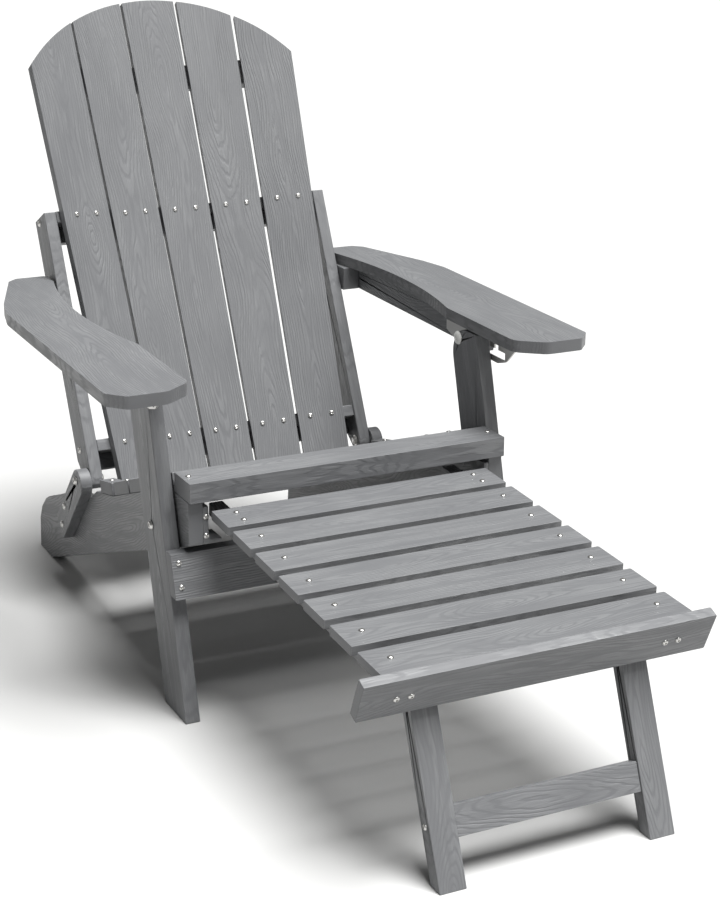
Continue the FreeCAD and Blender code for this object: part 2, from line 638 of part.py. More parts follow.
# ---------------------------------------------------------------- back
def upright(side, name):
    """A back upright, tapered to a round foot at the hinge."""
    rear = "(dims.upright_deep - dims.upright_ahead)"
    corners = (
        ("-dims.upright_ahead", "0"),
        ("dims.foot_front * -dims.upright_ahead", "dims.foot_front * -dims.upright_ahead"),
        ("0", "-dims.upright_ahead"),
        ("dims.foot_back * dims.upright_ahead", "dims.foot_low * -dims.upright_ahead"),
        (rear, f"dims.foot_rise * {rear}"),
        (rear, "dims.upright_tall"),
        ("-dims.upright_ahead", "dims.upright_tall"),
    )
    x = on_side(side, UPRIGHT_IN, "dims.upright_thick")
    place = f"{BACK} * {at(x, '0', '0')}"
    blank = board("YZ_Plane", corners, "dims.upright_thick", place, name + "_blank")
    bores = group([bore(HINGE_Y, HINGE_Z), bore(ARM_Y, ARM_Z)], name + "_bores")
    return keep(cut(blank, bores, name), name)


def slat_frame(step):
    """Placement of the back slat that is `step` slats from the middle, origin at its lower screws."""
    turn = f"({step} * (dims.back_slat_wide + dims.back_slat_space) / dims.back_radius * 180 / pi)"
    x = f"dims.back_radius * sin({turn})"
    y = f"dims.back_face - dims.back_radius * (1 - cos({turn}))"
    swing = at(x, y, "dims.lower_row", "0; 0; 1", f"-{turn}")
    fan = at("0", "0", "0", ACROSS, f"{step} * dims.back_fan")
    return f"{BACK} * {swing} * {fan}"


def slat_half(height):
    """Half of a back slat's width, at a height above its lower screws."""
    return f"(dims.back_slat_wide / 2 + ({height}) * tan(dims.back_flare))"


def back_slats():
    """Five slats on a hollow curve, fanned upward and cut to one arch."""
    reach = "2 * dims.arch_radius"
    stem_top = "(dims.arch_top - dims.arch_radius)"
    below = "-2 * dims.back_tail - dims.lower_row"
    stem = box(reach, reach, f"{stem_top} + 2 * dims.back_tail + dims.lower_row",
               f"{BACK} * {at('-dims.arch_radius', '-dims.arch_radius', below)}")
    disc = rod("dims.arch_radius", reach, f"{BACK} * {at('0', 'dims.arch_radius', stem_top, angle='90')}")
    arch = join([stem, disc], "arch")
    low = "(-dims.lower_row - dims.back_tail)"
    high = "(dims.arch_top - dims.lower_row)"
    for number in range(1, 6):
        name = "back_slat_%d" % number
        corners = (
            (f"-{slat_half(low)}", low),
            (slat_half(low), low),
            (slat_half(high), high),
            (f"-{slat_half(high)}", high),
        )
        blank = board("XZ_Plane", corners, "dims.back_slat_thick", slat_frame(number - 3), name + "_blank")
        slat = part("Common", name)
        slat.Base = blank
        slat.Tool = arch
        keep(slat, name)


def hollow(height):
    """A cylinder that just holds the backs of the slats at a height above the hinge."""
    above = f"({height} - dims.lower_row)"
    edge = f"({slat_half(above)} + {above} * sin(2 * dims.back_fan))"
    radius = f"sqrt((dims.back_radius + dims.back_slat_thick)^2 + {edge}^2)"
    place = f"{BACK} * {at('0', 'dims.back_face - dims.back_radius', '-500')}"
    return rod(radius, "2000", place)


def crossbar(row, name):
    """A bar between the uprights, hollowed to carry the slats."""
    low = f"({row} - dims.crossbar_tall / 2)"
    rear = "(dims.upright_deep - dims.upright_ahead)"
    ends = box(f"2 * {UPRIGHT_IN}", f"{rear} + dims.crossbar_ahead", "dims.crossbar_tall",
               f"{BACK} * {at(f'-{UPRIGHT_IN}', '-dims.crossbar_ahead', low)}")
    half = f"({UPRIGHT_IN} - dims.upright_thick - 3)"
    middle = box(f"2 * {half}", f"{rear} + 2 * dims.crossbar_ahead", "dims.crossbar_tall",
                 f"{BACK} * {at(f'-{half}', '-2 * dims.crossbar_ahead', low)}")
    keep(cut(join([ends, middle]), hollow(f"({row} + dims.crossbar_tall / 2)"), name), name)


def stiffener(row, name):
    """A bar set back under a crossbar."""
    low = f"({row} - dims.crossbar_tall / 2 - dims.stiffener_tall)"
    rear = "(dims.upright_deep - dims.upright_ahead - dims.stiffener_deep)"
    keep(box(f"2 * {UPRIGHT_IN}", "dims.stiffener_deep", "dims.stiffener_tall",
             f"{BACK} * {at(f'-{UPRIGHT_IN}', rear, low)}", name), name)


def top_batten():
    """The batten that ties the slats together near the top, behind them."""
    y = "(dims.back_face - dims.arch_radius / 5)"
    deep = f"(dims.back_slat_thick + dims.batten_thick + dims.back_face - {y})"
    blank = box("2 * dims.batten_half", deep, "dims.batten_tall",
                f"{BACK} * {at('-dims.batten_half', y, 'dims.batten_up')}")
    top = "(dims.batten_up + dims.batten_tall)"
    keep(cut(blank, hollow(top), "top_batten"), "top_batten")


def back_fasteners():
    """Two screw heads on each slat at each row, and the bolt heads that hold the crossbars."""
    heads = []
    for step in range(-2, 3):
        for up in ("0", "(dims.upper_row - dims.lower_row)"):
            for side in (-1, 1):
                spot = at(f"{side} * dims.back_slat_wide * 0.235", "0", up, angle="90")
                heads.append(screw(f"{slat_frame(step)} * {spot}"))
    keep(group(heads, "back_screws"), "back_screws")
    bolts = []
    for _, side in SIDES:
        for row in ("dims.lower_row", "dims.upper_row"):
            bolts.append(small_bolt(side, UPRIGHT_OUT, "dims.upright_ahead", row, BACK + " * "))
    keep(group(bolts, "upright_bolts"), "upright_bolts")
    pivots = []
    for _, side in SIDES:
        inner = f"({UPRIGHT_IN} - dims.run_gap)"
        pivots.append(cross_bolt(side, inner, f"({BRACKET_OUT} + dims.run_gap)", HINGE_Y, HINGE_Z))
    keep(group(pivots, "back_pivot_bolts"), "back_pivot_bolts")


# ---------------------------------------------------------------- arms
def arm(side, name):
    """A flat arm: straight outside, cut corners in front and a long hollow in its inner edge."""
    outer = f"({ARM_IN} + dims.arm_wide)"
    corners = (
        (ARM_IN, "dims.arm_behind"),
        (f"{ARM_IN} + dims.arm_heel_wide", "dims.arm_behind"),
        (f"{ARM_IN} + dims.arm_heel_wide + dims.arm_heel_cut", "dims.arm_behind - dims.arm_heel_deep"),
        (f"{outer} - dims.arm_shoulder_in", "dims.arm_shoulder_deep - dims.arm_waist"),
        (outer, "-dims.arm_waist"),
        (f"{outer} - dims.arm_taper", "dims.arm_nose_deep - dims.arm_front"),
        (f"{outer} - dims.arm_taper - dims.arm_nose_cut", "-dims.arm_front"),
        (f"{ARM_IN} + dims.arm_toe_cut", "-dims.arm_front"),
        (ARM_IN, "dims.arm_toe_deep - dims.arm_front"),
    )
    if side < 0:
        corners = tuple((f"-({x})", y) for x, y in corners)
    place = f"{ARMS} * {at('0', '0', 'dims.arm_lift')}"
    rounds = (((0, 1, 2, 5, 6), "dims.arm_corner_round"), ((3, 4), "dims.arm_shoulder_round"),
              ((7, 8), "dims.arm_toe_round"))
    blank = board("XY_Plane", corners, "dims.arm_thick", place, name + "_blank", rounds)
    radius = "((dims.scoop_long / 2)^2 + dims.scoop_deep^2) / (2 * dims.scoop_deep)"
    centre = f"{side} * ({ARM_IN} + dims.scoop_deep - {radius})"
    scoop = rod(radius, "2 * dims.arm_thick",
                f"{ARMS} * {at(centre, '-dims.scoop_behind - dims.scoop_long / 2', '0')}")
    return keep(cut(blank, scoop, name), name)


def arm_rail(side, name):
    """The upright board under the arm, outside the leg."""
    x = on_side(side, ARM_RAIL_IN, "dims.arm_rail_thick")
    blank = box("dims.arm_rail_thick", "dims.arm_rail_front + dims.arm_rail_behind",
                "dims.arm_lift + dims.arm_rail_drop",
                f"{ARMS} * {at(x, '-dims.arm_rail_front', '-dims.arm_rail_drop')}")
    return keep(cut(blank, bore(ARM_Y, ARM_Z), name), name)


def arm_block(side, name):
    """The block between the arm's rail and the back upright."""
    inner = f"({UPRIGHT_OUT} + 2 * dims.run_gap)"
    wide = f"({ARM_RAIL_IN} - {inner})"
    blank = box(wide, "dims.arm_block_ahead + dims.arm_rail_behind", "dims.arm_lift + dims.arm_rail_drop",
                f"{ARMS} * {at(on_side(side, inner, wide), '-dims.arm_block_ahead', '-dims.arm_rail_drop')}")
    return keep(cut(blank, bore(ARM_Y, ARM_Z), name), name)


def latch_plate(side, name):
    """A steel plate inside the arm's rail, with a slot and four notches for the leg's pin."""
    start = f"({ARM_Y} - {PIN_Y})"
    front = f"({start} + 3 * dims.notch_pitch + dims.plate_ahead)"
    corners = (
        (f"dims.plate_behind - {start}", "dims.arm_lift"),
        (f"dims.plate_behind - {start}", "-dims.plate_tail_drop"),
        (f"dims.plate_slope - {start}", "-dims.plate_drop"),
        (f"dims.plate_nose_slope - {front}", "-dims.plate_drop"),
        (f"dims.plate_nose_mid - {front}", "-dims.plate_nose_drop"),
        (f"-{front}", "dims.plate_nose_up"),
        (f"-{front}", "dims.arm_lift"),
    )
    place = f"{ARMS} * {at(on_side(side, PLATE_IN, 'dims.plate_thick'), '0', '0')}"
    blank = board("YZ_Plane", corners, "dims.plate_thick", place, name + "_blank",
                  (((3, 4), "dims.plate_round"),))
    slot_x = f"-{ARM_RAIL_OUT}"
    wide = f"2 * {ARM_RAIL_OUT}"
    last = f"-{start} - 3 * dims.notch_pitch"
    slot = box(wide, "3 * dims.notch_pitch + dims.slot_ahead + dims.slot_behind", "dims.slot_tall",
               f"{ARMS} * {at(slot_x, f'{last} - dims.slot_ahead', '-dims.slot_drop')}")
    tools = [slot]
    for number in range(4):
        y = f"-{start} - {number} * dims.notch_pitch"
        tools.append(box(wide, "dims.notch_wide", "dims.slot_tall + dims.notch_rise",
                         f"{ARMS} * {at(slot_x, f'{y} - dims.notch_wide / 2', '-dims.slot_drop')}"))
    return keep(cut(blank, join(tools), name), name)


def arm_pivot_bolts():
    """The bolts through the uprights, blocks and arm rails."""
    bolts = []
    for _, side in SIDES:
        inner = f"({UPRIGHT_IN} - dims.run_gap)"
        bolts.append(cross_bolt(side, inner, f"({ARM_RAIL_OUT} + dims.run_gap)", ARM_Y, ARM_Z))
    keep(group(bolts, "arm_pivot_bolts"), "arm_pivot_bolts")


# ---------------------------------------------------------------- footrest
def footrest():
    """Seven slats on two side rails, with an end board and its screws."""
    half = "dims.end_board_long / 2"
    corner = at(f"-{half}", f"-{STEP_RUN}", "0", angle="dims.seat_tilt")
    place = f"{FOOTREST} * {corner} * {at('0', '-dims.end_board_thick', '-dims.end_board_tall')}"
    end = box("dims.end_board_long", "dims.end_board_thick", "dims.end_board_tall", place, "end_board")
    keep(end, "end_board")
    for number in range(7):
        name = "footrest_slat_%d" % (number + 1)
        y = f"-dims.step_wide - {number} * (dims.step_wide + dims.step_space)"
        slat = box(f"2 * {STEP_HALF}", "dims.step_wide", "dims.step_thick",
                   f"{FOOTREST} * {at(f'-{STEP_HALF}', y, '-dims.step_thick')}", name if number < 6 else None)
        keep(slat if number < 6 else cut(slat, end, name), name)
    top = "-dims.step_thick"
    low = "(-dims.step_thick - dims.runner_deep)"
    lean = "tan(dims.seat_tilt)"
    corners = (
        ("dims.runner_tail", top),
        (f"-{STEP_RUN} + dims.step_thick * {lean}", top),
        (f"-{STEP_RUN} - {low} * {lean}", low),
        ("dims.runner_tail", low),
    )
    for word, side in SIDES:
        name = "footrest_rail_" + word
        x = on_side(side, RUNNER_IN, "dims.runner_thick")
        blank = board("YZ_Plane", corners, "dims.runner_thick", f"{FOOTREST} * {at(x, '0', '0')}",
                      name + "_blank")
        tool = snug_bore(PROP_Y, "-dims.prop_below", FOOTREST + " * ")
        keep(cut(blank, tool, name), name)


def footrest_fasteners():
    """Screw heads into the side rails from above and through the end board, and the leg bolts."""
    heads = []
    middle = f"({RUNNER_IN} + dims.runner_thick / 2)"
    for _, side in SIDES:
        for number in range(7):
            spots = ("0.28", "0.72") if number == 0 else ("0.45",)
            for share in spots:
                y = f"-{share} * dims.step_wide - {number} * (dims.step_wide + dims.step_space)"
                heads.append(screw(f"{FOOTREST} * {at(f'{side} * {middle}', y, '0')}"))
        for across in (-1, 1):
            x = f"dims.end_board_long / 2 + {side} * {middle} + {across} * dims.runner_thick * 0.46"
            spot = at(x, "0", "dims.end_board_tall * dims.end_screw_rise", angle="90")
            heads.append(screw(f"end_board.Placement * {spot}"))
    keep(group(heads, "footrest_screws"), "footrest_screws")
    bolts = []
    for _, side in SIDES:
        inner = f"({PROP_IN} - dims.run_gap)"
        bolts.append(cross_bolt(side, inner, RUNNER_OUT, PROP_Y, "-dims.prop_below", FOOTREST + " * "))
    keep(group(bolts, "footrest_leg_bolts"), "footrest_leg_bolts")


def footrest_legs():
    """Two leaning legs, round at the bolt and cut level at the floor, with a bar between them."""
    half = "(dims.prop_thick / 2)"
    lean = "dims.prop_lean"

    def along(y, z):
        """Distance along the leg at which its face y meets height z."""
        return f"(({z} - {PROP_FLOOR} + ({y}) * sin({lean})) / cos({lean}))"

    corners = (
        (f"-{half}", along(f"-{half}", "0")),
        (half, along(half, "0")),
        (half, half),
        (f"-{half}", half),
    )
    for word, side in SIDES:
        name = "footrest_leg_" + word
        x = on_side(side, PROP_IN, "dims.prop_wide")
        place = f"{PROPS} * {at(x, '0', '0')}"
        blank = board("YZ_Plane", corners, "dims.prop_wide", place, name + "_blank",
                      (((2, 3), "dims.prop_thick * 0.49"),))
        tool = bore(PROP_Y, "-dims.prop_below", FOOTREST + " * ")
        keep(cut(blank, tool, name), name)
    middle = along("0", "dims.prop_bar_up")
    low = f"{middle} - dims.prop_bar_tall / 2"
    keep(box(f"2 * {PROP_IN}", "dims.prop_bar_thick", "dims.prop_bar_tall",
             f"{PROPS} * {at(f'-{PROP_IN}', '-dims.prop_bar_thick / 2', low)}", "footrest_crossbar"),
         "footrest_crossbar")
    heads = []
    for _, side in SIDES:
        spot = at(f"{side} * {PROP_OUT}", "0", middle, ACROSS, f"{side} * 90")
        heads.append(screw(f"{PROPS} * {spot}"))
    keep(group(heads, "footrest_leg_screws"), "footrest_leg_screws")


# ---------------------------------------------------------------- the whole chair
seat_slats()
front_board()
for word, side in SIDES:
    seat_rail(side, "seat_rail_" + word)
    bracket(side, "back_bracket_" + word)
    footrest_guide(side, "footrest_guide_" + word)
    front_leg(side, "front_leg_" + word)
    upright(side, "back_upright_" + word)
    arm(side, "arm_" + word)
    arm_rail(side, "arm_rail_" + word)
    arm_block(side, "arm_block_" + word)
    latch_plate(side, "latch_plate_" + word)
seat_fasteners()
apron()
arm_pins()
back_slats()
for word, row in (("lower", "dims.lower_row"), ("upper", "dims.upper_row")):
    crossbar(row, "back_crossbar_" + word)
    stiffener(row, "back_stiffener_" + word)
top_batten()
back_fasteners()
arm_pivot_bolts()
footrest()
footrest_fasteners()
footrest_legs()

doc.recompute()
for item in doc.Objects:
    if "Invalid" in item.State or "Error" in item.State:
        raise RuntimeError("%s did not rebuild: %s" % (item.Name, item.State))
for item in made:
    if item.Shape.isNull() or not item.Shape.isValid():
        raise RuntimeError("%s has no valid shape" % item.Label)
    item.Shape.exportStep("parts/%s.step" % item.Label)
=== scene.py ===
"""Finishes a folding adirondack chair: its boards, screws, bolts, latch plates and pin caps, in a studio.

Metres, with the floor at z = 0, the chair's front at -Y and the sitter's left at +X.
Each operator finishes one group of pieces, and the panel in the 3D view's sidebar lists them in their order.
"""
import json
import math

import bmesh
import bpy
import numpy as np
from mathutils import Matrix, Vector


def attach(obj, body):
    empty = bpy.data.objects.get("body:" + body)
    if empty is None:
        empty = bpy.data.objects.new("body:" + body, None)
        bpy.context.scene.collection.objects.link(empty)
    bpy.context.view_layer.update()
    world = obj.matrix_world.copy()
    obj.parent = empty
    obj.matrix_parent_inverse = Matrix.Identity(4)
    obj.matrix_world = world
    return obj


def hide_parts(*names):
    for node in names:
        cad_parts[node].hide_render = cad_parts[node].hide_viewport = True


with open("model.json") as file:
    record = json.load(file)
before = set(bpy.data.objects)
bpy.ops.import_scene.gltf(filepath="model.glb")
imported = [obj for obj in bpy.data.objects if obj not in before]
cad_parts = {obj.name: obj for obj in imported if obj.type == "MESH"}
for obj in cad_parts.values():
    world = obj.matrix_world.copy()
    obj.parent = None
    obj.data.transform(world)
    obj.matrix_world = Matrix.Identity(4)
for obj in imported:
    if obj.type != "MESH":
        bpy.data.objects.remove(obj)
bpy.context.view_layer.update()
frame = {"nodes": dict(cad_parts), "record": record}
NODES = frame["nodes"]
BODIES = frame["record"]["behaviour"]["bodies"]

bl_info = {
    "name": "Folding adirondack chair",
    "version": (1, 0, 0),
    "blender": (4, 5, 0),
    "location": "View3D > Sidebar > Chair",
    "description": "Finishes the boards, fasteners and fittings of a folding garden chair",
    "category": "Object",
}

MM = 0.001
WELD_GAP = 0.001 * MM
BEVEL_FROM = math.radians(32)
SHARP_FROM = math.radians(38)

# Profiles of the fittings that every pivot bolt has: radius, height above the bolt's end, and how hexagonal.
LOCK_NUT = ((4.9 * MM, 0.6 * MM, 0), (5.6 * MM, 1.0 * MM, 0), (6.2 * MM, 1.6 * MM, 1),
            (6.8 * MM, 2.2 * MM, 1), (6.8 * MM, 4.0 * MM, 1), (6.4 * MM, 4.2 * MM, 0))
WASHER = ((8.6 * MM, 4.2 * MM, 0), (8.8 * MM, 4.4 * MM, 0), (8.8 * MM, 4.9 * MM, 0), (8.6 * MM, 5.0 * MM, 0))
BOLT_RADIUS = 4 * MM
BOLT_HEAD_RADIUS = 7 * MM
BOLT_HEAD_TALL = 4 * MM
PIN_RADIUS = 5 * MM
CAP_TALL = 4.0 * MM

# Where the lights stand, what they face, and how broad the overhead one looks from the chair.
LIGHTS_AIM = (0, -0.1, 0.35)
OVERHEAD_PLACE = (0.7, -1.0, 4.5)
OVERHEAD_SPREAD = math.radians(34)
FRONT_PLACE = (1.5, -2.6, 2.2)
FRONT_SIZE = 1.8
FLOOR_HALF = 14.0


# ---------------------------------------------------------------- colours and nodes
def linear(hex_colour):
    """A linear colour from six sRGB hex digits."""
    parts = [int(hex_colour[i:i + 2], 16) / 255 for i in (0, 2, 4)]
    return tuple(c / 12.92 if c <= 0.04045 else ((c + 0.055) / 1.055) ** 2.4 for c in parts)


def add(tree, kind, settings=None, sockets=None):
    """Adds one shader node. A socket takes a constant, or the output socket of another node."""
    made = tree.nodes.new("ShaderNode" + kind)
    for key, value in (settings or {}).items():
        setattr(made, key, value)
    for key, value in (sockets or {}).items():
        if isinstance(value, bpy.types.NodeSocket):
            tree.links.new(value, made.inputs[key])
        else:
            made.inputs[key].default_value = value
    return made


def empty_material(name):
    """A new material with no nodes in it yet, and its node tree."""
    material = bpy.data.materials.new(name)
    material.use_nodes = True
    material.node_tree.nodes.clear()
    return material, material.node_tree


# ---------------------------------------------------------------- settings
class ChairFinish(bpy.types.PropertyGroup):
    """Colours and sizes of the chair's finishes."""

    board_colour: bpy.props.FloatVectorProperty(
        name="Board", description="Dark grey of the through-coloured plastic boards",
        subtype="COLOR", size=3, min=0, max=1, default=linear("5d5e60"))
    # The paler ridge grey is partly rubbed wear and partly a painted highlight: the raised ridges are painted
    # paler, as where they catch the light.
    ridge_wear_and_highlight_colour: bpy.props.FloatVectorProperty(
        name="Ridges", description="Paler grey where the embossed ridges are rubbed",
        subtype="COLOR", size=3, min=0, max=1, default=linear("7b7c7d"))
    steel_colour: bpy.props.FloatVectorProperty(
        name="Steel", description="Stainless steel of screws, bolts and plates",
        subtype="COLOR", size=3, min=0, max=1, default=linear("d4d3d0"))
    cap_colour: bpy.props.FloatVectorProperty(
        name="Pin caps", description="White nylon of the caps on the arm pins",
        subtype="COLOR", size=3, min=0, max=1, default=linear("ecece8"))
    ring_pitch: bpy.props.FloatProperty(
        name="Ring spacing", description="Between the rings of the embossed grain",
        subtype="DISTANCE", unit="LENGTH", min=0.001, max=0.02, default=3.8 * MM)
    emboss_depth: bpy.props.FloatProperty(
        name="Emboss depth", description="Height of the embossed grain",
        subtype="DISTANCE", unit="LENGTH", min=0, max=0.002, default=0.35 * MM)
    board_edge: bpy.props.FloatProperty(
        name="Board edge", description="Radius that eases the long edges of the boards",
        subtype="DISTANCE", unit="LENGTH", min=0.0001, max=0.005, default=1.6 * MM)
    plate_edge: bpy.props.FloatProperty(
        name="Plate edge", description="Radius along the edges of the latch plates",
        subtype="DISTANCE", unit="LENGTH", min=0.0001, max=0.002, default=0.4 * MM)


class ChairStage(bpy.types.PropertyGroup):
    """The camera, the lights and the floor."""

    camera_place: bpy.props.FloatVectorProperty(
        name="Camera", description="Where the camera stands", subtype="TRANSLATION", unit="LENGTH", size=3,
        default=(-1.1007, -2.4054, 1.1766))
    camera_aim: bpy.props.FloatVectorProperty(
        name="Aim", description="Direction in which the camera looks", subtype="DIRECTION", size=3,
        default=(0.4158, 0.8563, -0.3064))
    camera_lens: bpy.props.FloatProperty(
        name="Lens", description="Focal length in millimetres on a 36 mm wide sensor",
        min=10, max=300, default=75.374)
    key_strength: bpy.props.FloatProperty(
        name="Overhead light",
        description="Irradiance of the broad light overhead, in watts per square metre",
        min=0, max=50, default=7.2)
    fill_power: bpy.props.FloatProperty(
        name="Front light", description="Power of the soft light in front, in watts",
        min=0, max=2000, default=16)
    sky_strength: bpy.props.FloatProperty(
        name="Surroundings", description="Brightness of the white room", min=0, max=5, default=0.16)
    floor_colour: bpy.props.FloatVectorProperty(
        name="Floor", description="Pale matt floor",
        subtype="COLOR", size=3, min=0, max=1, default=linear("b9b9b8"))


# ---------------------------------------------------------------- finishes
def embossed_lumber(look):
    """Recycled polyethylene lumber, extruded and then embossed with a flat-sawn grain between hot rollers.

    The eye gets nested ovals and arches along each board, fine fibres between them, and a low waxy sheen.
    Each board brings its own grain_origin, grain_turn and grain_shift, so no two boards are alike.
    """
    material, tree = empty_material("embossed_polyethylene_lumber")
    spot = add(tree, "TexCoord")
    origin, turn, shift = (
        add(tree, "Attribute", {"attribute_type": "OBJECT", "attribute_name": name}).outputs["Vector"]
        for name in ("grain_origin", "grain_turn", "grain_shift"))
    board = add(tree, "Mapping", {"vector_type": "TEXTURE"},
                {"Vector": spot.outputs["Object"], "Location": origin, "Rotation": turn})
    facing = add(tree, "Mapping", {"vector_type": "TEXTURE"},
                 {"Vector": spot.outputs["Normal"], "Rotation": turn})
    moved = add(tree, "VectorMath", {"operation": "ADD"}, {0: board.outputs[0], 1: shift}).outputs[0]

    def noise(cells, detail):
        """Noise whose cells per metre along, across and through the board are given."""
        stretched = add(tree, "VectorMath", {"operation": "MULTIPLY"}, {0: moved, 1: cells})
        sockets = {"Vector": stretched.outputs[0], "Scale": 1.0, "Detail": detail}
        return add(tree, "TexNoise", {}, sockets).outputs[0]

    def spread(value, low, high, to_low, to_high, smooth=False):
        """The value taken from one range to another."""
        settings = {"interpolation_type": "SMOOTHSTEP" if smooth else "LINEAR"}
        sockets = {"Value": value, "From Min": low, "From Max": high, "To Min": to_low, "To Max": to_high}
        return add(tree, "MapRange", settings, sockets).outputs[0]

    def math_of(operation, first, second=0.0):
        """One sum on two values."""
        return add(tree, "Math", {"operation": operation}, {0: first, 1: second}).outputs[0]

    # The rings are those of a trunk whose middle wanders beside and below the board's face.
    across = add(tree, "SeparateXYZ", {}, {0: board.outputs[0]}).outputs[1]
    depth = spread(noise((3.4, 1.0, 1.0), 0.0), 0.2, 0.8, -30 * MM, 30 * MM)
    aside = spread(noise((3.0, 0.0, 0.0), 1.0), 0.25, 0.75, -26 * MM, 26 * MM)
    ripple = spread(noise((16.0, 110.0, 110.0), 2.0), 0.3, 0.7, -1.2 * MM, 1.2 * MM)
    trunk = add(tree, "CombineXYZ", {}, {0: math_of("ADD", across, aside), 1: depth, 2: 0.0})
    reach = add(tree, "VectorMath", {"operation": "LENGTH"}, {0: trunk.outputs[0]}).outputs[1]
    radius = math_of("ADD", reach, ripple)
    rings = math_of("PINGPONG", math_of("DIVIDE", radius, look.ring_pitch), 0.5)
    groove = spread(rings, 0.04, 0.30, 0.0, 1.0, True)
    # Some rings are pressed deeper than others.
    press = spread(noise((9.0, 90.0, 90.0), 1.0), 0.35, 0.62, 0.25, 1.0, True)
    # Fibres of the wood that the rollers were etched from, 1.1 mm apart. Finer ones would not show.
    fibres = noise((30.0, 900.0, 900.0), 2.0)
    # Sawn ends carry no embossing.
    end = add(tree, "SeparateXYZ", {}, {0: facing.outputs[0]}).outputs[0]
    faced = spread(math_of("ABSOLUTE", end), 0.70, 0.90, 1.0, 0.0, True)
    relief = math_of("MULTIPLY", math_of("MULTIPLY", groove, press), faced)
    height = math_of("ADD", relief, math_of("MULTIPLY", fibres, math_of("MULTIPLY", faced, 0.45)))
    # Recycled plastic is a little uneven in tone over hand-sized patches.
    patches = spread(noise((7.0, 16.0, 16.0), 2.0), 0.3, 0.7, 0.0, 0.35)
    # Painted highlight, partly also rubbed wear: the raised relief is mixed towards the paler ridge grey, as
    # where ridges catch the light. The patches add random tone.
    rubbed_and_highlit = math_of("ADD", math_of("MULTIPLY", relief, 0.55), patches)
    streaked = math_of("MULTIPLY", spread(fibres, 0.3, 0.7, 0.35, 1.0), rubbed_and_highlit)
    colour = add(tree, "Mix", {"data_type": "RGBA"},
                 {"Factor": streaked, "A": (*look.board_colour, 1), "B": (*look.ridge_wear_and_highlight_colour, 1)})
    sheen = spread(math_of("ADD", relief, fibres), 0.3, 1.5, 0.56, 0.42)
    bump = add(tree, "Bump", {}, {"Strength": 0.9, "Distance": look.emboss_depth, "Height": height})
    shader = add(tree, "BsdfPrincipled", {}, {
        "Base Color": colour.outputs[2], "Roughness": sheen, "IOR": 1.54, "Normal": bump.outputs[0]})
    add(tree, "OutputMaterial", {}, {0: shader.outputs[0]})
    return material


def turned_steel(look):
    """Stainless steel, cold headed and tumbled: bright, with faint marks that break up its reflections."""
    material, tree = empty_material("tumbled_stainless_steel")
    spot = add(tree, "TexCoord")
    # Tumbling marks 0.8 mm across.
    marks = add(tree, "TexNoise", {}, {"Vector": spot.outputs["Object"], "Scale": 1250.0, "Detail": 3.0})
    rough = add(tree, "MapRange", {}, {"Value": marks.outputs[0], "To Min": 0.22, "To Max": 0.46})
    pale = add(tree, "Mix", {"data_type": "RGBA"}, {
        "Factor": marks.outputs[0], "A": tuple(c * 0.82 for c in look.steel_colour) + (1,),
        "B": (*look.steel_colour, 1)})
    bump = add(tree, "Bump", {}, {"Strength": 0.25, "Distance": 0.05 * MM, "Height": marks.outputs[0]})
    shader = add(tree, "BsdfPrincipled", {}, {
        "Base Color": pale.outputs[2], "Metallic": 1.0, "Roughness": rough.outputs[0],
        "Normal": bump.outputs[0]})
    add(tree, "OutputMaterial", {}, {0: shader.outputs[0]})
    return material


def brushed_plate(look):
    """Stainless sheet, punched and belt brushed along its length: long fine scratches and a satin grey."""
    material, tree = empty_material("brushed_stainless_sheet")
    spot = add(tree, "TexCoord")
    # Belt scratches 0.5 mm apart and about 60 mm long.
    cells = (2000.0, 17.0, 2000.0)
    lines = add(tree, "VectorMath", {"operation": "MULTIPLY"}, {0: spot.outputs["Object"], 1: cells})
    scratch = add(tree, "TexNoise", {}, {"Vector": lines.outputs[0], "Scale": 1.0, "Detail": 3.0})
    rough = add(tree, "MapRange", {}, {"Value": scratch.outputs[0], "To Min": 0.28, "To Max": 0.5})
    tone = add(tree, "Mix", {"data_type": "RGBA"}, {
        "Factor": scratch.outputs[0], "A": tuple(c * 0.7 for c in look.steel_colour) + (1,),
        "B": (*look.steel_colour, 1)})
    bump = add(tree, "Bump", {}, {"Strength": 0.3, "Distance": 0.04 * MM, "Height": scratch.outputs[0]})
    shader = add(tree, "BsdfPrincipled", {}, {
        "Base Color": tone.outputs[2], "Metallic": 1.0, "Roughness": rough.outputs[0],
        "Normal": bump.outputs[0]})
    add(tree, "OutputMaterial", {}, {0: shader.outputs[0]})
    return material


def moulded_nylon(look):
    """White nylon, injection moulded in a spark-eroded mould: an even white with a fine matt texture."""
    material, tree = empty_material("moulded_white_nylon")
    spot = add(tree, "TexCoord")
    # Spark erosion leaves a texture 0.6 mm across.
    grit = add(tree, "TexNoise", {}, {"Vector": spot.outputs["Object"], "Scale": 1600.0, "Detail": 2.0})
    tone = add(tree, "Mix", {"data_type": "RGBA"}, {
        "Factor": grit.outputs[0], "A": tuple(c * 0.9 for c in look.cap_colour) + (1,),
        "B": (*look.cap_colour, 1)})
    rough = add(tree, "MapRange", {}, {"Value": grit.outputs[0], "To Min": 0.3, "To Max": 0.45})
    bump = add(tree, "Bump", {}, {"Strength": 0.2, "Distance": 0.04 * MM, "Height": grit.outputs[0]})
    shader = add(tree, "BsdfPrincipled", {}, {
        "Base Color": tone.outputs[2], "Roughness": rough.outputs[0], "IOR": 1.53, "Normal": bump.outputs[0]})
    add(tree, "OutputMaterial", {}, {0: shader.outputs[0]})
    return material


MAKERS = {"lumber": embossed_lumber, "steel": turned_steel, "plate": brushed_plate, "nylon": moulded_nylon}


def finish_of(name, look):
    """One of the four finishes, made when it is first asked for."""
    key = "chair_finish_" + name
    if key not in bpy.context.scene:
        bpy.context.scene[key] = MAKERS[name](look).name
    return bpy.data.materials[bpy.context.scene[key]]


